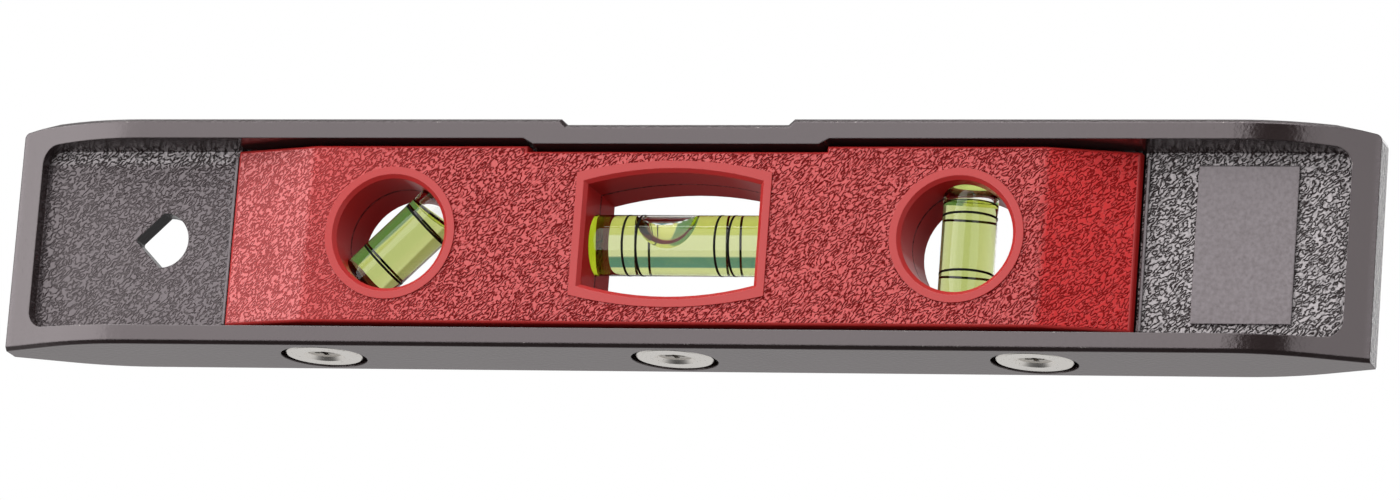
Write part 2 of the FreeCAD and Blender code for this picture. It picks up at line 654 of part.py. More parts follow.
def make_vial(name, length, radius, bore_radius, across, turn):
    """A vial: tube with a closed end, its liquid and the plug in the other end."""
    closed = f"-({length} / 2 - vial_end_wall)"
    filled = f"({length} / 2 - plug_length)"
    tube = doc.addObject("PartDesign::Body", name + "_tube")
    outside = new_sketch(tube, "outside", "XZ_Plane")
    rectangle(outside, f"-{length} / 2", f"{length} / 2", "0", radius)
    turned = feature(tube, "Revolution", "turned", outside, Angle=360)
    turned.ReferenceAxis = (outside, ["H_Axis"])
    bore = new_sketch(tube, "bore", "XZ_Plane")
    rectangle(bore, closed, f"{length} / 2", "0", bore_radius)
    hollow = feature(tube, "Groove", "hollow", bore, Angle=360)
    hollow.ReferenceAxis = (bore, ["H_Axis"])

    liquid = doc.addObject("PartDesign::Body", name + "_liquid")
    fill = new_sketch(liquid, "fill", "XZ_Plane")
    rectangle(fill, closed, filled, "0", bore_radius)
    filling = feature(liquid, "Revolution", "filling", fill, Angle=360)
    filling.ReferenceAxis = (fill, ["H_Axis"])

    plug = doc.addObject("PartDesign::Body", name + "_plug")
    stopper = new_sketch(plug, "stopper", "XZ_Plane")
    rectangle(stopper, filled, f"{length} / 2", "0", bore_radius)
    pressed = feature(plug, "Revolution", "pressed", stopper, Angle=360)
    pressed.ReferenceAxis = (stopper, ["H_Axis"])
    for body in (tube, liquid, plug):
        place_vial(body, across, turn)
    return tube, liquid, plug


def add_bubble(liquid):
    """Take the bubble out of the level vial: a half round that is open to the top of its bore."""
    bubble = new_sketch(liquid, "bubble_section", "XZ_Plane", across="-level_bubble_offset")
    half = "level_bubble_length / 2"
    rim = "level_bore_radius - bubble_end_depth"
    left = bubble.addGeometry(Part.LineSegment(Vector(-10, 10, 0), Vector(-10, 0, 0)))
    right = bubble.addGeometry(Part.LineSegment(Vector(10, 0, 0), Vector(10, 10, 0)))
    top = bubble.addGeometry(Part.LineSegment(Vector(10, 10, 0), Vector(-10, 10, 0)))
    bubble.addConstraint(Sketcher.Constraint("Coincident", right, 2, top, 1))
    bubble.addConstraint(Sketcher.Constraint("Coincident", top, 2, left, 1))
    fix_point(bubble, left, 1, f"-{half}", "level_vial_radius")
    fix_point(bubble, left, 2, f"-{half}", rim)
    fix_point(bubble, right, 1, half, rim)
    fix_point(bubble, right, 2, half, "level_vial_radius")
    arc_through(bubble, (left, 2), (right, 1), "0", "level_bore_radius - bubble_depth", -1)
    feature(liquid, "Pocket", "bubble", bubble, Length="bubble_width", SideType="Symmetric")


def level_off(liquid, turn):
    """Take the air above the liquid out of a tilted vial: everything above a level line."""
    air = new_sketch(liquid, "air", "XZ_Plane")
    surface = f"({SMALL_LENGTH} / 2 - plug_length - small_air_length)"
    reach = "small_vial_radius"
    lean = f"({reach} * cos({turn} * 1 deg) / sin({turn} * 1 deg))"
    polygon(air, [
        (f"{surface} - {lean}", reach),
        (f"{surface} + {lean}", f"-{reach}"),
        (f"{surface} + {SMALL_LENGTH}", f"-{reach}"),
        (f"{surface} + {SMALL_LENGTH}", reach),
    ])
    through(liquid, "air_space", air)


# Magnets and their screws

def make_magnet(name, across):
    """A ring magnet with a countersink in its face."""
    body = doc.addObject("PartDesign::Body", name)
    profile = new_sketch(body, "section", "XZ_Plane")
    sink = "(countersink_radius - magnet_hole_radius)"
    polygon(profile, [
        ("countersink_radius", "0"),
        ("magnet_radius - magnet_chamfer", "0"),
        ("magnet_radius", "magnet_chamfer"),
        ("magnet_radius", "magnet_thickness"),
        ("magnet_hole_radius", "magnet_thickness"),
        ("magnet_hole_radius", sink),
    ])
    ring = feature(body, "Revolution", "ring", profile, Angle=360)
    ring.ReferenceAxis = (profile, ["V_Axis"])
    body.setExpression("Placement.Base.x", on_sheet(across))
    body.setExpression("Placement.Base.z", on_sheet("magnet_recess"))
    return body


def make_screw(name, across):
    """A countersunk screw with a cross recess, its head facing down."""
    body = doc.addObject("PartDesign::Body", name)
    profile = new_sketch(body, "section", "XZ_Plane")
    polygon(profile, [
        ("0", "0"),
        ("screw_head_radius", "0"),
        ("screw_radius", "screw_head_radius - screw_radius"),
        ("screw_radius", "screw_length"),
        ("0", "screw_length"),
    ])
    turned = feature(body, "Revolution", "turned", profile, Angle=360)
    turned.ReferenceAxis = (profile, ["V_Axis"])
    cross = new_sketch(body, "cross", "XY_Plane")
    reach = "recess_reach"
    half = "recess_half"
    polygon(cross, [
        (reach, f"-{half}"), (reach, half), (half, half), (half, reach),
        (f"-{half}", reach), (f"-{half}", half), (f"-{reach}", half), (f"-{reach}", f"-{half}"),
        (f"-{half}", f"-{half}"), (f"-{half}", f"-{reach}"), (half, f"-{reach}"),
        (half, f"-{half}"),
    ])
    feature(body, "Pocket", "cross_recess", cross, Reversed=True, Length="recess_depth")
    body.setExpression("Placement.Base.x", on_sheet(across))
    body.setExpression("Placement.Base.z", on_sheet(SCREW_FACE))
    return body


# The whole level

frame = make_frame()
front_housing, rear_housing = make_housing()
level_vial = make_vial("level_vial", "level_vial_length", "level_vial_radius",
                       "level_bore_radius", "0", "0")
plumb_vial = make_vial("plumb_vial", SMALL_LENGTH, "small_vial_radius",
                       "small_bore_radius", "bore_offset", "90")
angle_vial = make_vial("angle_vial", SMALL_LENGTH, "small_vial_radius",
                       "small_bore_radius", "-bore_offset", "vial_angle")
add_bubble(level_vial[1])
level_off(plumb_vial[1], "90")
level_off(angle_vial[1], "vial_angle")
magnets = []
for side, across in (("left", "-magnet_pitch"), ("centre", "0"), ("right", "magnet_pitch")):
    magnets.append(make_magnet("magnet_" + side, across))
    magnets.append(make_screw("magnet_screw_" + side, across))
doc.recompute()

pieces = [frame, front_housing, rear_housing, *level_vial, *plumb_vial, *angle_vial, *magnets]
for item in doc.Objects:
    if "Invalid" in item.State or "Error" in item.State:
        raise RuntimeError(f"{item.Name} failed: {item.State}")
for piece in pieces:
    piece.Label = piece.Name
    if piece.Shape.isNull() or not piece.Shape.isValid():
        raise RuntimeError(f"{piece.Name} has no valid shape")

os.makedirs("parts", exist_ok=True)
for piece in pieces:
    piece.Shape.exportStep(f"parts/{piece.Label}.step")
    print(piece.Label, "solids", len(piece.Shape.Solids), "volume", round(piece.Shape.Volume, 1))
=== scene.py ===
# %% [markdown]
# # Dressing a pocket spirit level
# The solids of a small magnetic level come from its CAD model and are loaded here as a fixed
# frame. This lesson adds what makes it look real: paint with a cast grain, moulded red plastic,
# clear vials with liquid, bubbles and printed lines, bright magnets, soft light and a camera.
# Every solid that already has the right shape stays as it is and only gets a finish. The vials
# are made again, because clear things that touch need one shared surface between them.

# %% Load the frame
import math

import bmesh
import bpy
from mathutils import Matrix, Vector


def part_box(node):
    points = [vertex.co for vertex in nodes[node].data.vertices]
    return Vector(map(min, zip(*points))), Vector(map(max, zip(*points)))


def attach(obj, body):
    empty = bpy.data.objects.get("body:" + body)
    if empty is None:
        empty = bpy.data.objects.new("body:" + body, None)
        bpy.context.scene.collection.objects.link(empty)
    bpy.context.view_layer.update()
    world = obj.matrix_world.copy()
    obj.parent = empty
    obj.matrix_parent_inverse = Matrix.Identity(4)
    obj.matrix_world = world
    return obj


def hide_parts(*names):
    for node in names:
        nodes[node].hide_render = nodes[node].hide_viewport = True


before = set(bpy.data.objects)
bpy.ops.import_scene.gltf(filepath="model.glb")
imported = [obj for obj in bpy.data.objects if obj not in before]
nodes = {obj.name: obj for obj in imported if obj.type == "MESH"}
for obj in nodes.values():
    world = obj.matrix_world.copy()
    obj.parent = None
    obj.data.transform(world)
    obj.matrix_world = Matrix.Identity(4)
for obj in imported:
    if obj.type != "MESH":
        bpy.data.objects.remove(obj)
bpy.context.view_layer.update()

MM = 0.001
MIDDLE_HEIGHT = 19.05 * MM
HOLE_FROM_HOUSING = 13.05 * MM

# %% [markdown]
# ## The camera first
# The level is seen from a little to the right and from below its base, so the camera stands low
# and looks up. A long lens from over a metre away keeps the long edges nearly parallel. The
# camera's three axes are worked out from three angles: how far round it stands, how far below,
# and how far it leans. Writing the matrix is surer than stacking rotations, because each column
# is one axis of the camera: right, up and back.

# %% Camera
CAMERA_ROUND = math.radians(17.023)
CAMERA_BELOW = math.radians(-13.422)
CAMERA_LEAN = math.radians(4.350)
CAMERA_PLACE = Vector((374.53, -1214.00, -284.60)) * MM
LENS = 206.9
SENSOR_WIDTH = 36

back = Vector((math.sin(CAMERA_ROUND) * math.cos(CAMERA_BELOW),
               -math.cos(CAMERA_ROUND) * math.cos(CAMERA_BELOW),
               math.sin(CAMERA_BELOW)))
level_right = Vector((math.cos(CAMERA_ROUND), math.sin(CAMERA_ROUND), 0))
level_up = back.cross(level_right)
right = math.cos(CAMERA_LEAN) * level_right + math.sin(CAMERA_LEAN) * level_up
up = -math.sin(CAMERA_LEAN) * level_right + math.cos(CAMERA_LEAN) * level_up

camera_data = bpy.data.cameras.new("camera")
camera_data.lens = LENS
camera_data.sensor_width = SENSOR_WIDTH
camera_data.clip_start = 0.05
camera_data.clip_end = 20
camera = bpy.data.objects.new("camera", camera_data)
turn = Matrix((right, up, back)).transposed().to_4x4()
camera.matrix_world = Matrix.Translation(CAMERA_PLACE) @ turn
bpy.context.scene.collection.objects.link(camera)
bpy.context.scene.camera = camera
print("camera: lens", LENS, "mm, distance", round(CAMERA_PLACE.length, 2), "m")

# %% [markdown]
# ## Light
# Satin paint and moulded plastic show their shape by what they reflect, so the lights are large
# and soft. A wide softbox in front on the left puts the pale sheen on every face that looks that
# way, and a second one adds to it for faces turned further left. One on the right lights the
# grain from the other side. The dark gap between left and right is what the rim's bends reflect.
# Two lamps behind light the back, the ends and the walls of the openings, and one above lights
# the upper edges. Clear pieces don't see the lamps, only the world.

# %% Lights
bpy.context.scene.view_settings.view_transform = "Standard"


def softbox(name, round_from, round_to, low, high, distance, radiance):
    """A rectangular lamp that fills a window of directions, in degrees, as seen from the level."""
    middle = math.radians((round_from + round_to) / 2)
    lift = math.radians((low + high) / 2)
    aim = Vector((math.sin(middle) * math.cos(lift), -math.cos(middle) * math.cos(lift),
                  math.sin(lift)))
    lamp = bpy.data.lights.new(name, "AREA")
    lamp.shape = "RECTANGLE"
    lamp.size = 2 * distance * math.tan(math.radians(round_to - round_from) / 2)
    lamp.size_y = 2 * distance * math.tan(math.radians(high - low) / 2)
    lamp.energy = radiance * math.pi * lamp.size * lamp.size_y
    holder = bpy.data.objects.new(name, lamp)
    holder.matrix_world = (Matrix.Translation(aim * distance)
                           @ aim.to_track_quat("Z", "Y").to_matrix().to_4x4())
    holder.visible_transmission = False
    bpy.context.scene.collection.objects.link(holder)
    print(name, "is", round(lamp.size, 2), "by", round(lamp.size_y, 2), "m")


softbox("softbox_left", -72, -4, -30, 52, 1.5, 1.9)
softbox("softbox_side", -76, -34, -25, 45, 1.7, 0.9)
softbox("softbox_right", 24, 62, -25, 40, 1.6, 1.3)
softbox("softbox_behind", 150, 210, 30, 75, 1.6, 0.8)
softbox("softbox_end", 167, 175, 4, 21, 1.6, 2.6)
softbox("softbox_above", -75, 15, 57, 76, 1.5, 4.5)

# %% [markdown]
# ## Helpers for nodes
# Every material below is a small network of nodes. These helpers add one node each and give back
# the socket with its result, so that a network reads like a sum: times for a product, less for
# what is left of 1, mapped for a smooth step, spread for a straight one, between for a mix of two
# colours.

# %% Helpers for nodes
def node(tree, kind, inputs=None, **properties):
    """Add a node, set its properties, and give inputs a number, a colour or another socket."""
    made = tree.nodes.new(kind)
    for name, value in properties.items():
        setattr(made, name, value)
    for name, value in (inputs or {}).items():
        if isinstance(value, bpy.types.NodeSocket):
            tree.links.new(value, made.inputs[name])
        else:
            made.inputs[name].default_value = value
    return made


def math_node(tree, operation, first, second=0.0):
    """One step of arithmetic; gives the socket with the result."""
    return node(tree, "ShaderNodeMath", {0: first, 1: second}, operation=operation).outputs[0]


def times(tree, first, *others):
    """The product of all the values."""
    product = first
    for other in others:
        product = math_node(tree, "MULTIPLY", product, other)
    return product


def less(tree, value, share=1.0):
    """1 where the value is 0, and 1 less the share where it is 1."""
    return math_node(tree, "SUBTRACT", 1.0, times(tree, value, share))


def mapped(tree, value, low, high, to_low=0.0, to_high=1.0):
    """A smooth step from one range to another."""
    return node(tree, "ShaderNodeMapRange",
                {"Value": value, "From Min": low, "From Max": high, "To Min": to_low,
                 "To Max": to_high}, interpolation_type="SMOOTHSTEP").outputs["Result"]


def spread(tree, value, to_low, to_high, low=0.0, high=1.0):
    """A straight step from one range to another."""
    return node(tree, "ShaderNodeMapRange",
                {"Value": value, "From Min": low, "From Max": high, "To Min": to_low,
                 "To Max": to_high}).outputs["Result"]


def between(tree, factor, first, second):
    """A colour between two colours."""
    made = node(tree, "ShaderNodeMix", {"Factor": factor}, data_type="RGBA")
    for name, colour in ((6, first), (7, second)):
        if isinstance(colour, bpy.types.NodeSocket):
            tree.links.new(colour, made.inputs[name])
        else:
            made.inputs[name].default_value = (*colour, 1)
    return made.outputs[2]


def noise(tree, place, scale, detail):
    """A noise with about this many features to a metre."""
    return node(tree, "ShaderNodeTexNoise",
                {"Vector": place, "Scale": scale, "Detail": detail}).outputs["Fac"]


print("helpers ready")

# %% [markdown]
# ## The world
# The world is white where the camera or a clear piece looks at it, which gives the white
# background, and dim for everything else, so the background adds no light of its own. A vial
# bends what lies round it into bands, and each band comes from one region of directions. Those
# bands are painted into the world: regions of directions with their own colours and soft edges,
# which only the clear pieces see, while the camera sees white there. This is painted light in
# what the vials show.

# %% World
AMBIENT = 0.26
MIRRORED = 0.58
MIRRORED_IN_FRONT = 0.04

world = bpy.data.worlds.new("studio")
bpy.context.scene.world = world
world.use_nodes = True
world_tree = world.node_tree
world_tree.nodes.clear()
ray = node(world_tree, "ShaderNodeLightPath").outputs
looking = node(world_tree, "ShaderNodeTexCoord").outputs["Generated"]
direction = node(world_tree, "ShaderNodeSeparateXYZ", {0: looking}).outputs
mirrored = mapped(world_tree, direction["Y"], -0.25, 0.35, MIRRORED_IN_FRONT, MIRRORED)
rest = node(world_tree, "ShaderNodeMix",
            {"Factor": ray["Is Glossy Ray"], 2: AMBIENT, 3: mirrored}).outputs[0]
seen = math_node(world_tree, "MAXIMUM", ray["Is Camera Ray"], ray["Is Transmission Ray"])
strength = math_node(world_tree, "MAXIMUM", seen, rest)
print("world: ambient", AMBIENT, "in mirrors", MIRRORED)

# %% Bands painted into the world for the clear pieces
SOFT_EDGE = 0.02
east, up_z = direction["X"], direction["Z"]
down_right = times(world_tree, math_node(world_tree, "SUBTRACT", east, up_z), math.sqrt(0.5))


def over(value, limit):
    """1 where the value is above the limit, 0 below, with a soft edge."""
    return mapped(world_tree, value, limit - SOFT_EDGE, limit + SOFT_EDGE)


def under(value, limit):
    """1 where the value is below the limit, 0 above, with a soft edge."""
    return mapped(world_tree, value, limit + SOFT_EDGE, limit - SOFT_EDGE)


BAND_FOOT, BAND_TOP = 0.407, 0.629
LEFT, FAR_LEFT, FAR_RIGHT = -0.12, -0.38, 0.43
# Painted light: each colour is seen only through the clear pieces, as a band that a vial shows.
PAINTED_BANDS = [
    ((0.78, 0.80, 0.30), under(up_z, 0.05), under(east, LEFT)),
    ((0.15, 0.35, 0.40), over(up_z, BAND_FOOT), under(up_z, BAND_TOP), over(east, FAR_LEFT)),
    ((0.50, 0.48, 0.36), over(up_z, 0.40), under(east, FAR_LEFT)),
    ((0.88, 0.93, 0.66), over(up_z, BAND_TOP), over(east, FAR_LEFT)),
    ((0.18, 0.34, 0.17), over(down_right, -0.08), under(up_z, 0.0), over(east, LEFT)),
    ((0.20, 0.19, 0.15), over(east, FAR_RIGHT), over(up_z, 0.0)),
]
tone = node(world_tree, "ShaderNodeRGB").outputs[0]
tone.default_value = (1, 1, 1, 1)
for band_colour, *masks in PAINTED_BANDS:
    tone = between(world_tree, times(world_tree, ray["Is Transmission Ray"], *masks), tone,
                   band_colour)
background = node(world_tree, "ShaderNodeBackground", {"Color": tone, "Strength": strength})
node(world_tree, "ShaderNodeOutputWorld", {"Surface": background.outputs[0]})
print("darker regions:", len(PAINTED_BANDS))

# %% [markdown]
# ## The floor
# The level stands on a pale floor, and the camera looks up from under it. So the floor is a sheet
# that only the camera sees, and only from above. From below, and for the light that reaches the
# base, it isn't there. It still takes the level's shadow in every view from above, and it fades
# out into the white a little way off.

# %% Floor
FLOOR_HALF = 2.5
FADE_FROM, FADE_TO = 0.15, 0.60

floor_maker = bmesh.new()
bmesh.ops.create_grid(floor_maker, x_segments=4, y_segments=4, size=FLOOR_HALF)
bmesh.ops.translate(floor_maker, verts=floor_maker.verts, vec=(0, 0, -0.05 * MM))
floor_mesh = bpy.data.meshes.new("floor")
floor_maker.to_mesh(floor_mesh)
floor_maker.free()
floor = bpy.data.objects.new("floor", floor_mesh)
bpy.context.scene.collection.objects.link(floor)

floor_finish = bpy.data.materials.new("pale_floor")
floor_finish.use_nodes = True
tree = floor_finish.node_tree
tree.nodes.clear()
from_below = node(tree, "ShaderNodeNewGeometry").outputs["Backfacing"]
floor_place = node(tree, "ShaderNodeTexCoord").outputs["Object"]
far = node(tree, "ShaderNodeVectorMath", {0: floor_place}, operation="LENGTH").outputs["Value"]
visible = times(tree, node(tree, "ShaderNodeLightPath").outputs["Is Camera Ray"],
                less(tree, from_below), mapped(tree, far, FADE_TO, FADE_FROM))
speckle = node(tree, "ShaderNodeTexNoise", {"Scale": 60.0, "Detail": 4.0}).outputs["Fac"]
paper = spread(tree, speckle, 0.84, 0.88)
pale = node(tree, "ShaderNodeCombineColor", {0: paper, 1: paper, 2: paper})
matt = node(tree, "ShaderNodeBsdfDiffuse", {"Color": pale.outputs[0]})
clear = node(tree, "ShaderNodeBsdfTransparent")
both = node(tree, "ShaderNodeMixShader", {0: visible, 1: clear.outputs[0], 2: matt.outputs[0]})
node(tree, "ShaderNodeOutputMaterial", {"Surface": both.outputs[0]})
floor.data.materials.append(floor_finish)
print("floor: one sheet,", 2 * FLOOR_HALF, "m square")

# %% [markdown]
# ## The cast grain
# Both the casting's web and the moulding's face have a fine worm-like grain that hides scratches.
# A noise has a level line where it crosses its middle value, and that line winds about just as
# the valleys of this grain do. The noise's distance from its middle, divided by how steeply it
# runs there, is the distance to that line, so every valley comes out as wide as the next. The
# slope is found from two more samples of the same noise, a small step away in X and in Z. The
# valleys run mostly one way, so the pattern is turned and drawn out, and a slower noise lets
# each valley fade out and start again.

# %% Grain
def grain(tree, place, spacing, width, slant, longer, broken):
    """Height from 0 in a valley to 1 on top; spacing and width of the valleys in metres."""
    turned = node(tree, "ShaderNodeMapping", {"Vector": place, "Scale": (longer, 1, 1),
                                              "Rotation": (0, -math.radians(slant), 0)},
                  vector_type="TEXTURE").outputs[0]
    push = node(tree, "ShaderNodeTexNoise", {"Vector": turned, "Scale": 1.6 / spacing,
                                             "Detail": 0.0})
    centred = node(tree, "ShaderNodeVectorMath", {0: push.outputs["Color"], 1: (0.5, 0.5, 0.5)},
                   operation="SUBTRACT")
    moved = node(tree, "ShaderNodeVectorMath", {0: centred.outputs[0], "Scale": 0.7 * spacing},
                 operation="SCALE")
    pushed = node(tree, "ShaderNodeVectorMath", {0: turned, 1: moved.outputs[0]},
                  operation="ADD").outputs[0]

    def sample(shift):
        shifted = node(tree, "ShaderNodeVectorMath", {0: pushed, 1: shift}, operation="ADD")
        return noise(tree, shifted.outputs[0], 1 / spacing, 0.0)

    step = 0.1 * spacing
    here = sample((0, 0, 0))
    slopes = []
    for shift, run in (((step, 0, 0), step * longer), ((0, 0, step), step)):
        rise = math_node(tree, "SUBTRACT", sample(shift), here)
        slope = math_node(tree, "ABSOLUTE", math_node(tree, "DIVIDE", rise, run))
        slopes.append(math_node(tree, "POWER", slope, 2.0))
    steepness = math_node(tree, "SQRT", math_node(tree, "ADD", *slopes))
    from_middle = math_node(tree, "ABSOLUTE", math_node(tree, "SUBTRACT", here, 0.5))
    distance = math_node(tree, "DIVIDE", from_middle,
                         math_node(tree, "MAXIMUM", steepness, 0.25 / spacing))
    valley = mapped(tree, distance, width, 0.0)
    kept = mapped(tree, noise(tree, turned, 0.8 / spacing, 1.0), *broken)
    return less(tree, times(tree, valley, kept))


print("grain ready")

# %% Helpers for finishes
def new_finish(name):
    """An empty material with nodes."""
    finish = bpy.data.materials.new(name)
    finish.use_nodes = True
    finish.node_tree.nodes.clear()
    return finish, finish.node_tree


def object_place(tree):
    """The Object coordinates, whole and as separate axes."""
    place = node(tree, "ShaderNodeTexCoord").outputs["Object"]
    return place, node(tree, "ShaderNodeSeparateXYZ", {0: place}).outputs


def facing_side(tree, low, high):
    """1 where the surface faces the front or the back of the level, 0 where it doesn't."""
    normal = node(tree, "ShaderNodeNewGeometry").outputs["Normal"]
    along_y = node(tree, "ShaderNodeSeparateXYZ", {0: normal}).outputs["Y"]
    return mapped(tree, math_node(tree, "ABSOLUTE", along_y), low, high)


def rounded_edges(tree, radius):
    """The normal of a surface whose sharp edges are rounded by this radius."""
    return node(tree, "ShaderNodeBevel", {"Radius": radius}, samples=4).outputs[0]


def bumped(tree, height, distance, normal=None):
    """The normal of a surface with this relief, on top of another normal if there is one."""
    inputs = {"Height": height, "Strength": 1.0, "Distance": distance}
    if normal:
        inputs["Normal"] = normal
    return node(tree, "ShaderNodeBump", inputs).outputs[0]


def surface(tree, inputs):
    """The shader with these inputs, joined to the material's output."""
    shader = node(tree, "ShaderNodeBsdfPrincipled", inputs)
    return node(tree, "ShaderNodeOutputMaterial", {"Surface": shader.outputs[0]})


print("finish helpers ready")

# %% [markdown]
# ## Painted casting: where it is what
# The frame is a casting under a dark satin paint. Its finish differs from place to place: the
# cast grain is on the web alone, and the raised pad there is smooth again and painted lighter, a
# painted sheen. The wall of the hanging hole and the narrow gap beside the housing are painted
# near black, a painted shade, and the bottom face is painted lighter and warmer, painted light.
# Each place gets a mask, made from how deep the surface lies behind the rim, where it is along
# the level and which way it faces. On the left web the grain is calm and the painted glint on its
# ridges is weaker, apart from a strip along its upper edge.

# %% Painted casting: masks
WEB_FACE = (2.32 * MM, 2.22 * MM)
PAD_FACE = (2.30 * MM, 2.40 * MM)
PAD_LIMIT = (3.2 * MM, 2.8 * MM)
UPPER_STRIP = (31.2 * MM, 33.0 * MM)
HOLE_MIDDLE = (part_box("front_housing")[0][0] - HOLE_FROM_HOUSING, 0, MIDDLE_HEIGHT)
HOUSING_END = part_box("front_housing")[1][0]

painted, tree = new_finish("painted_casting")
place, axes = object_place(tree)
depth = math_node(tree, "ABSOLUTE", axes["Y"])
sideways = facing_side(tree, 0.90, 0.97)
on_web = times(tree, mapped(tree, depth, *WEB_FACE), sideways)
on_pad = times(tree, mapped(tree, depth, *PAD_FACE), mapped(tree, depth, *PAD_LIMIT), sideways)
on_left = mapped(tree, axes["X"], 1 * MM, -1 * MM)
# The left web below its upper strip: shallower grain and a weaker painted glint on its ridges.
calm = times(tree, on_left, less(tree, mapped(tree, axes["Z"], *UPPER_STRIP)))
# The wall of the hanging hole, where a painted shade goes and the gloss is taken away.
from_hole = node(tree, "ShaderNodeVectorMath", {0: place, 1: HOLE_MIDDLE}, operation="DISTANCE")
hole_wall = times(tree, mapped(tree, from_hole.outputs["Value"], 5.6 * MM, 5.3 * MM),
                  mapped(tree, depth, 1.95 * MM, 1.8 * MM))
# The line on the web beside each end of the housing, where a painted shade goes.
from_end = math_node(tree, "SUBTRACT", math_node(tree, "ABSOLUTE", axes["X"]), HOUSING_END)
gap_shade_line = times(tree, mapped(tree, math_node(tree, "ABSOLUTE", from_end), 0.42 * MM, 0.30 * MM),
                 on_web)
true_normal = node(tree, "ShaderNodeNewGeometry").outputs["True Normal"]
facing = node(tree, "ShaderNodeSeparateXYZ", {0: true_normal}).outputs
# The bottom face, painted lighter and warmer, painted light, and given less gloss.
on_base = times(tree, mapped(tree, facing["Z"], -0.90, -0.97),
                mapped(tree, axes["Z"], 1.0 * MM, 0.6 * MM))
print("masks of the casting ready")

# %% [markdown]
# ## Painted casting: relief and colour
# On the rim the paint has a very slight orange peel. Sharp edges are a little rounded by it, which
# the Bevel node shows, and the most exposed ones have a few small chips where the metal glints
# through. On the web the tops of the grain are painted paler, a painted glint, strongest on the
# right and along the upper strip, and they shine, while its valleys don't. The paint is a warm
# black, and its gloss does most of what the eye sees as grey.

# %% Painted casting: relief
cast_grain = grain(tree, place, spacing=0.46 * MM, width=0.20 * MM, slant=38, longer=1.9,
                   broken=(0.2, 0.4))
lumps = noise(tree, place, 900.0, 2.0)
peel = noise(tree, place, 1500.0, 2.0)
rounded = rounded_edges(tree, 0.30 * MM)
web_height = times(tree, math_node(tree, "ADD", cast_grain, lumps), on_web,
                   less(tree, calm, 0.72))
relief = bumped(tree, web_height, 0.28 * MM, bumped(tree, peel, 0.03 * MM, rounded))
along = node(tree, "ShaderNodeVectorMath", {0: true_normal, 1: rounded}, operation="DOT_PRODUCT")
chips = times(tree, mapped(tree, along.outputs["Value"], 0.985, 0.93),
              mapped(tree, noise(tree, place, 700.0, 3.0), 0.67, 0.72))
valley = times(tree, less(tree, cast_grain), on_web)
print("relief of the casting ready")

# %% Painted casting: colour and gloss
PAINT_DEEP = (0.013, 0.008, 0.008)
PAINT_WORN = (0.021, 0.014, 0.014)
# Painted shade: near black on the wall of the hanging hole.
PAINTED_SHADE_IN_HOLE = (0.004, 0.003, 0.003)
# Painted shade: near black in the narrow gap beside the housing.
PAINTED_SHADE_IN_GAP = (0.003, 0.002, 0.002)
# Painted light: a lighter, warmer colour on the bottom face only.
BASE_PAINTED_LIGHT = (0.050, 0.018, 0.020)
# Painted sheen: the smooth pad is painted lighter, in patches.
PAD_PAINTED_SHEEN = (0.14, 0.125, 0.135)
# Painted glint on the grain's ridges: bright on the right web and upper strip, dimmer on the left.
RIDGE_PAINTED_GLINT = (0.31, 0.29, 0.295)
RIDGE_PAINTED_SHEEN_LEFT = (0.062, 0.050, 0.054)
BARE_METAL = (0.30, 0.28, 0.27)
SPECULAR_TINT = (1.0, 0.90, 0.93, 1)

mottle = noise(tree, place, 90.0, 5.0)
colour = between(tree, mottle, PAINT_DEEP, PAINT_WORN)
colour = between(tree, hole_wall, colour, PAINTED_SHADE_IN_HOLE)
colour = between(tree, gap_shade_line, colour, PAINTED_SHADE_IN_GAP)
colour = between(tree, chips, colour, BARE_METAL)
# Painted glint and sheen: the tops of the web's grain get a pale colour.
ridges = math_node(tree, "SUBTRACT", on_web, math_node(tree, "MAXIMUM", valley, gap_shade_line))
colour = between(tree, math_node(tree, "MAXIMUM", ridges, 0.0), colour,
                 between(tree, calm, RIDGE_PAINTED_GLINT, RIDGE_PAINTED_SHEEN_LEFT))
colour = between(tree, times(tree, on_pad, peel), colour, PAD_PAINTED_SHEEN)
colour = between(tree, on_base, colour, BASE_PAINTED_LIGHT)
sunk = math_node(tree, "MAXIMUM", valley, math_node(tree, "MAXIMUM", hole_wall, gap_shade_line))
lost = math_node(tree, "MAXIMUM", math_node(tree, "SUBTRACT", 0.92, times(tree, calm, 0.50)),
                 times(tree, hole_wall, 0.92))
shine = math_node(tree, "SUBTRACT", less(tree, times(tree, sunk, lost)),
                  times(tree, on_base, 0.16))
surface(tree, {"Base Color": colour, "Roughness": spread(tree, mottle, 0.14, 0.20),
               "Metallic": chips, "Normal": relief, "IOR": 1.6, "Specular Tint": SPECULAR_TINT,
               "Specular IOR Level": times(tree, shine, 0.85)})
print("painted casting ready")

# %% [markdown]
# ## Moulded red plastic
# The housing is one deep red moulding. Its flat face and sloping ends have the worm-like grain,
# while the raised lips, the bevels and the walls of the openings are smooth. The tops of the
# grain catch the softbox, and the valleys don't, which is why the lit face looks paler than the
# same plastic in shade; the valleys are also painted a dark red, a painted shade. The slope on the
# left is painted paler and pinker, a painted sheen, and the one on the right a deeper, stronger
# red, painted light without sheen. Towards the left end the grain and the painted shade in its
# valleys are shallower. Masks from the depth and the direction of the surface keep each look in
# its place.

# %% Red plastic: masks and relief
LIP_FOOT = (8.06 * MM, 8.0 * MM)
SHALLOW_FROM, SHALLOW_TO = -30 * MM, -62 * MM
SEAM = (0.34 * MM, 0.24 * MM)

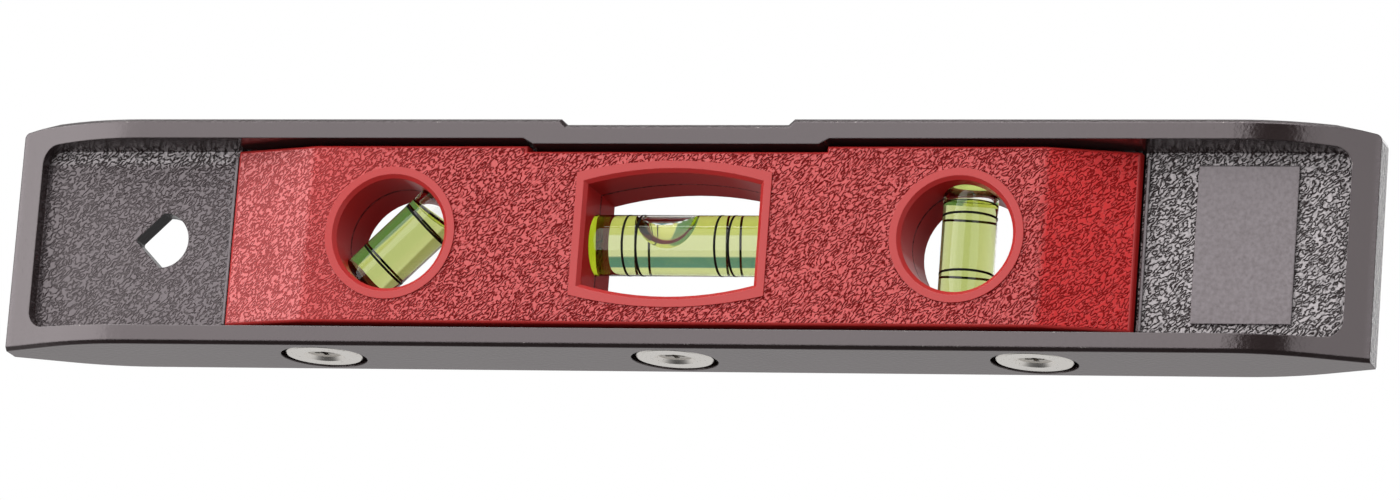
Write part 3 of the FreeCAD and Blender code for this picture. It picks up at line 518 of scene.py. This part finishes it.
red, tree = new_finish("red_plastic")
place, axes = object_place(tree)
depth = math_node(tree, "ABSOLUTE", axes["Y"])
on_face = times(tree, mapped(tree, depth, *LIP_FOOT), facing_side(tree, 0.90, 0.955))
true_normal = node(tree, "ShaderNodeNewGeometry").outputs["True Normal"]
facing = node(tree, "ShaderNodeSeparateXYZ", {0: true_normal}).outputs
left_slope = times(tree, mapped(tree, facing["X"], -0.15, -0.30), on_face)
right_slope = times(tree, mapped(tree, facing["X"], 0.15, 0.30), on_face)
on_wall = less(tree, facing_side(tree, 0.25, 0.45))
at_seam = times(tree, on_wall, mapped(tree, depth, *SEAM))
worm = grain(tree, place, spacing=0.47 * MM, width=0.20 * MM, slant=43, longer=2.1,
             broken=(0.22, 0.45))
worm = math_node(tree, "MAXIMUM", worm, mapped(tree, axes["X"], SHALLOW_FROM, SHALLOW_TO, 0.0, 0.40))
valley = times(tree, less(tree, worm), on_face)
lumps = times(tree, noise(tree, place, 1300.0, 2.0), 0.35)
face_height = times(tree, math_node(tree, "ADD", worm, lumps), on_face)
skin = bumped(tree, noise(tree, place, 2600.0, 2.0), 0.002 * MM, rounded_edges(tree, 0.15 * MM))
relief = bumped(tree, face_height, 0.15 * MM, skin)
print("masks and relief of the housing ready")

# %% Red plastic: colour and gloss
RED_TOP = (0.47, 0.022, 0.021)
RED_SHADE = (0.44, 0.017, 0.017)
# Painted shade: dark red in the valleys of the grain.
RED_VALLEY_PAINTED_SHADE = (0.10, 0.002, 0.002)
RED_LIP = (0.39, 0.019, 0.018)
# Painted sheen: the left slope is painted paler and pinker.
RED_LEFT_PAINTED_SHEEN = (0.56, 0.098, 0.098)
# Painted light: the right slope is painted a deeper, brighter red without sheen.
RED_RIGHT_PAINTED_LIGHT = (0.51, 0.014, 0.015)
# Painted shade in the valleys of the right slope, lighter than elsewhere.
RED_RIGHT_VALLEY_PAINTED_SHADE = (0.20, 0.004, 0.004)
RED_SEAM = (0.02, 0.001, 0.001)
LIP_GLOSS = 0.54
FACE_GLOSS = 0.85

mottle = noise(tree, place, 70.0, 4.0)
tint = between(tree, mapped(tree, mottle, 0.3, 0.7), RED_SHADE, RED_TOP)
tint = between(tree, on_face, RED_LIP, tint)
# Painted sheen on the left slope, painted light on the right slope.
tint = between(tree, left_slope, tint, RED_LEFT_PAINTED_SHEEN)
tint = between(tree, right_slope, tint, RED_RIGHT_PAINTED_LIGHT)
# Painted shade in the grain's valleys.
colour = between(tree, valley, tint, between(tree, right_slope, RED_VALLEY_PAINTED_SHADE, RED_RIGHT_VALLEY_PAINTED_SHADE))
colour = between(tree, at_seam, colour, RED_SEAM)
grazing = node(tree, "ShaderNodeLayerWeight", {"Blend": 0.5}).outputs["Facing"]
wall_gloss = mapped(tree, grazing, 0.80, 0.97, 0.004, 0.22)
gloss = math_node(tree, "ADD", LIP_GLOSS, times(tree, on_face, FACE_GLOSS - LIP_GLOSS))
gloss = math_node(tree, "SUBTRACT", gloss, times(tree, right_slope, 0.55))
gloss = times(tree, gloss, mapped(tree, axes["X"], SHALLOW_FROM, SHALLOW_TO, 1.0, 0.80),
              less(tree, valley, 0.92))
gloss = node(tree, "ShaderNodeMix", {"Factor": on_wall, 2: gloss, 3: wall_gloss}).outputs[0]
surface(tree, {"Base Color": colour, "Roughness": spread(tree, valley, 0.35, 0.80),
               "Normal": relief, "IOR": 1.5, "Specular IOR Level": gloss})
print("red plastic ready")

# %% [markdown]
# ## Nickel and steel
# The ring magnets are nickel plated: bright, almost white, with the faint circles of the turned
# blank under the plating. The screws are zinc-plated steel, a little warmer and duller. The
# circles come from a noise over the distance to the nearest magnet's upright axis. All three
# magnets stand on one line, so X is wrapped to their pitch and one finish serves all of them.

# %% Nickel and steel
MAGNET_PITCH = 60 * MM


def from_axis(tree, axes):
    """Distance from the nearest magnet's upright axis."""
    wrapped = node(tree, "ShaderNodeMath", {0: axes["X"], 1: MAGNET_PITCH / 2,
                                            2: -MAGNET_PITCH / 2}, operation="WRAP").outputs[0]
    squares = [math_node(tree, "POWER", math_node(tree, "ABSOLUTE", leg), 2.0)
               for leg in (wrapped, axes["Y"])]
    return math_node(tree, "SQRT", math_node(tree, "ADD", *squares))


def plated(name, base, shade, rough_low, rough_high):
    """A plated metal with fine turning circles, cloudy roughness and small specks."""
    finish, tree = new_finish(name)
    place, axes = object_place(tree)
    turned = node(tree, "ShaderNodeTexNoise",
                  {"W": times(tree, from_axis(tree, axes), 9000.0), "Scale": 1.0, "Detail": 1.0},
                  noise_dimensions="1D").outputs["Fac"]
    cloud = noise(tree, place, 350.0, 4.0)
    specks = mapped(tree, noise(tree, place, 2500.0, 1.0), 0.68, 0.74)
    surface(tree, {
        "Base Color": between(tree, specks, base, shade), "Metallic": 1.0,
        "Roughness": spread(tree, cloud, rough_low, rough_high, 0.3, 0.7),
        "Normal": bumped(tree, turned, 0.0012 * MM, rounded_edges(tree, 0.08 * MM))})
    return finish


nickel = plated("nickel_plate", (0.97, 0.93, 0.88), (0.40, 0.37, 0.34), 0.22, 0.34)
zinc = plated("zinc_plate", (0.56, 0.53, 0.49), (0.35, 0.32, 0.29), 0.26, 0.40)
print("nickel for the magnets, zinc for the screws")

# %% [markdown]
# ## Acrylic, liquid and ink
# Light bends where it passes from one clear thing into another. Air to acrylic is one bend, and
# acrylic to liquid is a weak one the other way, so the liquid's surface gets the ratio of the two
# indices. The bubble's surface takes light from acrylic-like stuff to air: a thin skin of acrylic
# round it changes nothing that can be seen, and lets every surface have one plain material. The
# liquid's colour comes from the depth that light passes through, which is Volume Absorption, so
# thick places are deeper in colour than thin ones.

# %% Clear finishes
ACRYLIC = 1.49
SPIRIT = 1.36
DYE = (0.607, 0.669, 0.071, 1)
DYE_DENSITY = {"level_vial": 150.0, "plumb_vial": 262.0, "angle_vial": 250.0}


def clear_finish(name, index):
    """A clear surface with this ratio of indices and faint flow lines in its gloss."""
    finish, tree = new_finish(name)
    flow = noise(tree, object_place(tree)[0], 260.0, 2.0)
    output = surface(tree, {
        "Base Color": (1, 1, 1, 1), "Transmission Weight": 1.0, "IOR": index,
        "Roughness": spread(tree, flow, 0.0, 0.02), "Normal": bumped(tree, flow, 0.002 * MM)})
    return finish, output


acrylic = clear_finish("clear_acrylic", ACRYLIC)[0]
air = clear_finish("bubble_skin", 1 / ACRYLIC)[0]
spirits = {}
for name, density in DYE_DENSITY.items():
    spirits[name], output = clear_finish(name + "_spirit", SPIRIT / ACRYLIC)
    tree = spirits[name].node_tree
    body = node(tree, "ShaderNodeVolumeAbsorption", {"Color": DYE, "Density": density})
    tree.links.new(body.outputs[0], output.inputs["Volume"])
print("clear finishes: acrylic", ACRYLIC, "liquid", SPIRIT)

# %% Ink and stoppers
ink, tree = new_finish("printed_line")
patchy = noise(tree, object_place(tree)[0], 2200.0, 2.0)
surface(tree, {"Base Color": between(tree, patchy, (0.002, 0.002, 0.002), (0.010, 0.010, 0.009)),
               "Specular IOR Level": 0.1, "Roughness": spread(tree, patchy, 0.3, 0.6)})

# The stoppers are lime plastic with a lime emission of their own: a painted glow, though they are
# no lamp.
stopper, tree = new_finish("stopper_plastic_with_painted_glow")
cloudy = noise(tree, object_place(tree)[0], 500.0, 3.0)
surface(tree, {"Base Color": between(tree, cloudy, (0.50, 0.62, 0.10), (0.60, 0.70, 0.16)),
               "Roughness": spread(tree, cloudy, 0.25, 0.45),
               "Normal": bumped(tree, cloudy, 0.01 * MM),
               "Emission Color": (0.62, 0.72, 0.22, 1), "Emission Strength": 0.8})
print("ink and stoppers ready")

# %% Dress the solids
FINISHES = {
    "frame": painted, "front_housing": red, "rear_housing": red,
    "magnet_left": nickel, "magnet_centre": nickel, "magnet_right": nickel,
    "magnet_screw_left": zinc, "magnet_screw_centre": zinc, "magnet_screw_right": zinc,
    "level_vial_plug": stopper, "plumb_vial_plug": stopper, "angle_vial_plug": stopper,
}
for name, finish in FINISHES.items():
    nodes[name].data.materials.clear()
    nodes[name].data.materials.append(finish)
print("finishes on", len(FINISHES), "solids")

# %% [markdown]
# ## The vials
# Each vial is a clear barrel, its liquid, a bubble and printed lines. All are round about one
# axis, so each starts as a half outline along X that is spun once round. A vial is made lying
# along X at the origin and then its mesh is turned and moved to where the CAD model holds it.

# %% Spinning
SPIN_STEPS = 96


def spun(outline):
    """A bmesh turned from (along, radius) points; ends on the axis are closed there."""
    maker = bmesh.new()
    points = [maker.verts.new((x, 0, radius)) for x, radius in outline]
    lines = [maker.edges.new(pair) for pair in zip(points, points[1:])]
    bmesh.ops.spin(maker, geom=points + lines, axis=(1, 0, 0), cent=(0, 0, 0),
                   steps=SPIN_STEPS, angle=2 * math.pi, use_merge=True)
    bmesh.ops.remove_doubles(maker, verts=maker.verts, dist=0.0001 * MM)
    bmesh.ops.recalc_face_normals(maker, faces=maker.faces)
    return maker


def piece(name, maker, place, finish, replaces=(), smooth=True):
    """Turn a bmesh into an object of the level, with its place in its mesh."""
    bmesh.ops.transform(maker, matrix=place, verts=maker.verts)
    mesh = bpy.data.meshes.new(name)
    maker.to_mesh(mesh)
    maker.free()
    for face in mesh.polygons:
        face.use_smooth = smooth
    mesh.materials.append(finish)
    made = bpy.data.objects.new(name, mesh)
    bpy.context.scene.collection.objects.link(made)
    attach(made, "root")
    if replaces:
        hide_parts(*replaces)
    print(name, len(mesh.polygons), "faces")
    return made


def add_to(target, maker):
    """Add everything in one bmesh to another."""
    scrap = bpy.data.meshes.new("scrap")
    maker.to_mesh(scrap)
    maker.free()
    target.from_mesh(scrap)
    bpy.data.meshes.remove(scrap)


def ring(low, high, inside, outside):
    """A thin closed band round a vial; sizes in millimetres."""
    return spun([(x * MM, radius * MM) for x, radius in (
        (low, inside), (low, outside), (high, outside), (high, inside), (low, inside))])


def sharp_over(maker, degrees):
    """Mark the edges that turn more than this, so that smooth shading stops at them."""
    for edge in maker.edges:
        if len(edge.link_faces) == 2 and edge.calc_face_angle() > math.radians(degrees):
            edge.smooth = False


print("spinning helpers ready")

# %% Sizes of the vials
BORE_OFFSET = 47.75 * MM
END_WALL = 1.5
PLUG = 2.2
LINE_PROUD = 0.03
LINE_WIDTH = 0.40
BARREL_SHARP = 20
LIQUID_SHARP = 35


def vial_place(across, turn):
    """Where a vial that was made along X belongs."""
    return (Matrix.Translation((across, 0, MIDDLE_HEIGHT))
            @ Matrix.Rotation(math.radians(turn), 4, (0, -1, 0)))


VIALS = {
    "level_vial": {"place": vial_place(0, 0), "length": 42.0, "radius": 5.0, "bore": 4.05,
                   "lines": (-8.97, -6.65, 6.65, 8.97)},
    "plumb_vial": {"place": vial_place(BORE_OFFSET, 90), "length": 25.0, "radius": 4.45,
                   "bore": 3.6, "lines": (-4.75, 4.75)},
    "angle_vial": {"place": vial_place(-BORE_OFFSET, 45), "length": 25.0, "radius": 4.45,
                   "bore": 3.6, "lines": (-4.75, 4.75)},
}
print("vials:", ", ".join(VIALS))

# %% [markdown]
# ## Barrels and printed lines
# The barrel's outside is one closed turned form with small rounded ends. It isn't hollow here:
# the liquid inside has its own surface, and two surfaces in the same place would fight. A printed
# line is a band 0.4 mm wide and a few hundredths proud of the barrel. As a thin closed ring it
# shows on the near side and, bent by the barrel, on the far side.

# %% Barrels and lines
def barrel_outline(length, radius, edge=0.25):
    """The outside of a vial, with rounded ends."""
    half = length / 2
    return [(-half, 0), (-half, radius - edge), (-half + edge * 0.3, radius - edge * 0.3),
            (-half + edge, radius), (half - edge, radius),
            (half - edge * 0.3, radius - edge * 0.3), (half, radius - edge), (half, 0)]


def in_mm(outline):
    """An outline's points in metres."""
    return [(x * MM, radius * MM) for x, radius in outline]


for name, vial in VIALS.items():
    maker = spun(in_mm(barrel_outline(vial["length"], vial["radius"])))
    sharp_over(maker, BARREL_SHARP)
    piece(name + "_barrel", maker, vial["place"], acrylic, [name + "_tube"])
    lines = bmesh.new()
    for middle in vial["lines"]:
        low, high = middle - LINE_WIDTH / 2, middle + LINE_WIDTH / 2
        inside, outside = vial["radius"] + 0.002, vial["radius"] + LINE_PROUD
        add_to(lines, ring(low, high, inside, outside))
    piece(name + "_lines", lines, vial["place"], ink, smooth=False)

# %% [markdown]
# ## The glow in the cradles
# Dyed acrylic gathers light and lets it out at its ends, so a vial glows lime where the housing
# holds it in the dark. Here that glow is painted: a thin closed sleeve round each end of the level
# vial, inside the cradle, glows lime with an emission of its own, though it is no lamp, and
# whoever looks through the barrel sees it.

# %% Glow sleeves
glow, tree = new_finish("vial_glow")
streaks = noise(tree, object_place(tree)[0], 900.0, 2.0)
lime = between(tree, streaks, (0.42, 0.50, 0.015), (0.58, 0.64, 0.08))
# Painted glow: the sleeve's lime gives out light of its own.
surface(tree, {"Base Color": lime, "Roughness": 0.6, "Emission Color": lime,
               "Emission Strength": 1.1})
GLOW_FROM = 15.8
GLOW_TO = 20.9
inside = VIALS["level_vial"]["radius"] + 0.004
outside = VIALS["level_vial"]["radius"] + LINE_PROUD
sleeves = bmesh.new()
for side in (-1, 1):
    low, high = sorted((side * GLOW_FROM, side * GLOW_TO))
    add_to(sleeves, ring(low, high, inside, outside))
piece("level_vial_glow", sleeves, VIALS["level_vial"]["place"], glow)

# %% [markdown]
# ## Liquid and bubbles
# The liquid fills the bore, so its outside is the bore's outline. A bubble is a closed form of
# its own. The liquid gets a hollow a hair larger than the bubble: the same shape, grown a little
# and turned inside out. The small vials have their air at the upper end, which stays level.

# %% Shapes of liquid and air
def bore_outline(vial, edge=0.3):
    """The liquid's outline, from the closed end to the plug."""
    low = -vial["length"] / 2 + END_WALL
    high = vial["length"] / 2 - PLUG
    bore = vial["bore"]
    return [(low, 0), (low, bore - edge), (low + edge * 0.3, bore - edge * 0.3),
            (low + edge, bore), (high, bore), (high, 0)]


BUBBLE_HALVES = (5.3, 3.5, 4.1)
BUBBLE_PLACE = Vector((-2.75, 0, 3.9)) * MM
BORE_CLEAR = 0.05


def level_bubble(vial):
    """A drop of air whose top is cut to the round of the bore."""
    maker = bmesh.new()
    bmesh.ops.create_uvsphere(maker, u_segments=64, v_segments=32, radius=MM)
    bmesh.ops.scale(maker, vec=BUBBLE_HALVES, verts=maker.verts)
    bmesh.ops.translate(maker, vec=BUBBLE_PLACE, verts=maker.verts)
    limit = (vial["bore"] - BORE_CLEAR) * MM
    for vert in maker.verts:
        off = math.hypot(vert.co.y, vert.co.z)
        if off > limit:
            vert.co.y *= limit / off
            vert.co.z *= limit / off
    bmesh.ops.recalc_face_normals(maker, faces=maker.faces)
    return maker


def end_air(vial, nose, dome, lean, steps=12):
    """The air at the plug end of a small vial: a domed slug, leaning so that it stays level."""
    high = vial["length"] / 2 - PLUG - BORE_CLEAR
    radius = vial["bore"] - BORE_CLEAR
    outline = []
    for step in range(steps + 1):
        turn = math.pi / 2 * step / steps
        outline.append((nose + dome * (1 - math.cos(turn)), radius * math.sin(turn)))
    outline += [(high - 0.4, radius), (high - 0.12, radius - 0.12), (high, radius - 0.4),
                (high, 0)]
    maker = spun(in_mm(outline))
    reach = (nose + dome + 0.01) * MM
    for vert in maker.verts:
        if vert.co.x < reach:
            vert.co.x -= vert.co.z * math.tan(math.radians(lean))
    return maker


def grown(maker, amount):
    """A copy with every point moved out along its normal, turned inside out."""
    copy = maker.copy()
    copy.normal_update()
    shifts = [(vert, vert.normal * amount) for vert in copy.verts]
    for vert, shift in shifts:
        vert.co += shift
    bmesh.ops.reverse_faces(copy, faces=copy.faces)
    return copy


print("shapes of liquid and air ready")

# %% Liquid and bubbles
HOLLOW_LARGER = 0.012 * MM
BUBBLES = {
    "level_vial": level_bubble(VIALS["level_vial"]),
    "plumb_vial": end_air(VIALS["plumb_vial"], 6.7, 0.5, 0),
    "angle_vial": end_air(VIALS["angle_vial"], 6.1, 1.0, 12),
}
for name, vial in VIALS.items():
    liquid = spun(in_mm(bore_outline(vial)))
    add_to(liquid, grown(BUBBLES[name], HOLLOW_LARGER))
    sharp_over(liquid, LIQUID_SHARP)
    piece(name + "_spirit", liquid, vial["place"], spirits[name],
          [name + "_liquid"])
    sharp_over(BUBBLES[name], LIQUID_SHARP)
    piece(name + "_bubble", BUBBLES[name], vial["place"], air)
